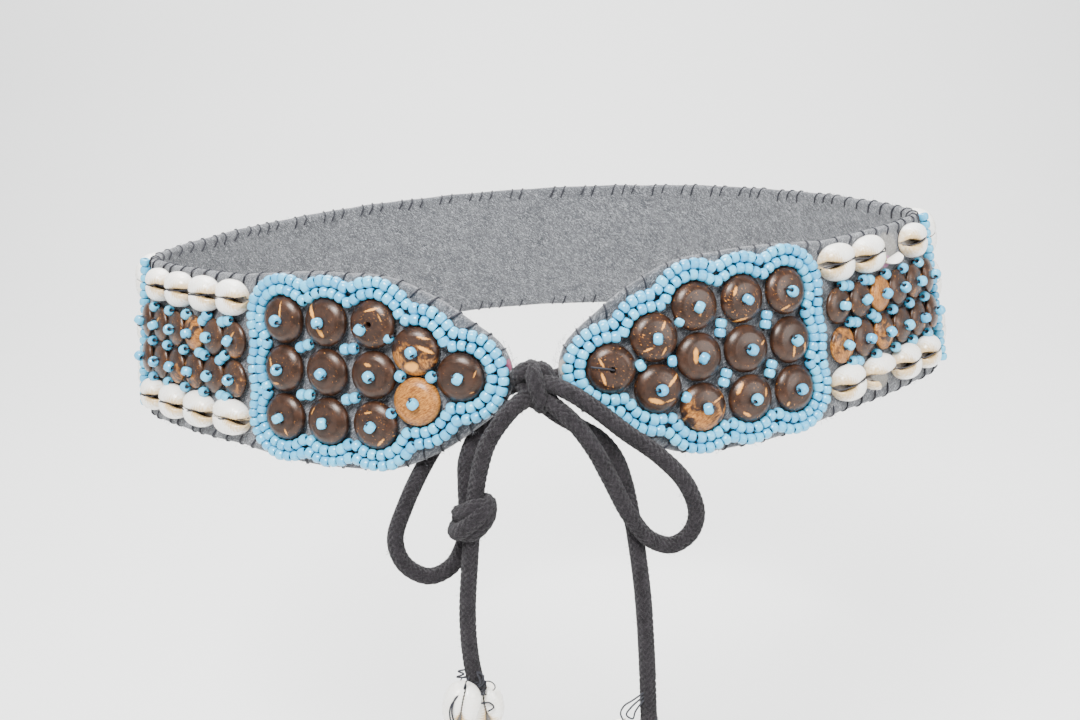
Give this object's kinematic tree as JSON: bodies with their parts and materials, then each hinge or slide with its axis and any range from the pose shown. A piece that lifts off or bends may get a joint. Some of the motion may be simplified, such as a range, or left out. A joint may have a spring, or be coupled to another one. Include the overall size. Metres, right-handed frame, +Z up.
{
  "type": "beaded belt",
  "caption": "Grey felt tie belt with coconut discs, blue seed beads and cowrie shells, closed round a waist and tied in front with a dark cord bow.",
  "frame": {"origin": "middle of the waist ring at half the height of the band, where a waist sits", "axes": "+Z up along the body, the tied front faces -Y, +X to the right as seen from in front"},
  "size_m": [0.3249, 0.232, 0.1655],
  "materials": {
    "felt": "mottled mid-grey wool felt, matte",
    "coconut": "polished dark coconut shell with tan flecks, satin",
    "small_coconut": "polished brown coconut shell, satin",
    "seed_beads": "opaque light blue glass seed beads, soft gloss",
    "shell": "creamy white cowrie shell, gloss",
    "cord": "soft braided charcoal cotton cord, fuzzy and matte"
  },
  "bodies": {
    "root": {"felt_band": "felt", "coco_disc_left_01": "coconut", "coco_disc_left_02": "coconut", "coco_disc_left_03": "coconut", "coco_disc_left_04": "coconut", "coco_disc_left_05": "coconut", "coco_disc_left_06": "coconut", "coco_disc_left_07": "coconut", "coco_disc_left_08": "coconut", "coco_disc_left_09": "coconut", "coco_disc_left_10": "coconut", "coco_disc_left_11": "coconut", "coco_disc_left_12": "coconut", "coco_disc_right_01": "coconut", "coco_disc_right_02": "coconut", "coco_disc_right_03": "coconut", "coco_disc_right_04": "coconut", "coco_disc_right_05": "coconut", "coco_disc_right_06": "coconut", "coco_disc_right_07": "coconut", "coco_disc_right_08": "coconut", "coco_disc_right_09": "coconut", "coco_disc_right_10": "coconut", "coco_disc_right_11": "coconut", "coco_disc_right_12": "coconut", "small_disc_row_left_top": "small_coconut", "small_disc_row_left_bottom": "small_coconut", "small_disc_row_right_top": "small_coconut", "small_disc_row_right_bottom": "small_coconut", "bead_border_left": "seed_beads", "bead_border_right": "seed_beads", "seed_line_left": "seed_beads", "seed_line_right": "seed_beads", "cowrie_left_top_1": "shell", "cowrie_left_top_2": "shell", "cowrie_left_top_3": "shell", "cowrie_left_top_4": "shell", "cowrie_left_bottom_1": "shell", "cowrie_left_bottom_2": "shell", "cowrie_left_bottom_3": "shell", "cowrie_left_bottom_4": "shell", "cowrie_right_top_1": "shell", "cowrie_right_top_2": "shell", "cowrie_right_top_4": "shell", "cowrie_right_bottom_1": "shell", "cowrie_right_bottom_2": "shell", "cowrie_right_bottom_3": "shell", "cowrie_right_bottom_4": "shell", "cowrie_column_left": "shell", "cowrie_column_right": "shell", "tail_cowrie_left_a": "shell", "tail_cowrie_left_b": "shell", "tail_cowrie_right": "shell", "bow_knot": "cord", "stopper_knot": "cord", "tie_loop_left": "cord", "tie_loop_right": "cord", "tie_tail_left_upper": "cord", "tie_tail_left_lower": "cord", "tie_tail_right": "cord"}
  },
  "joints": []
}
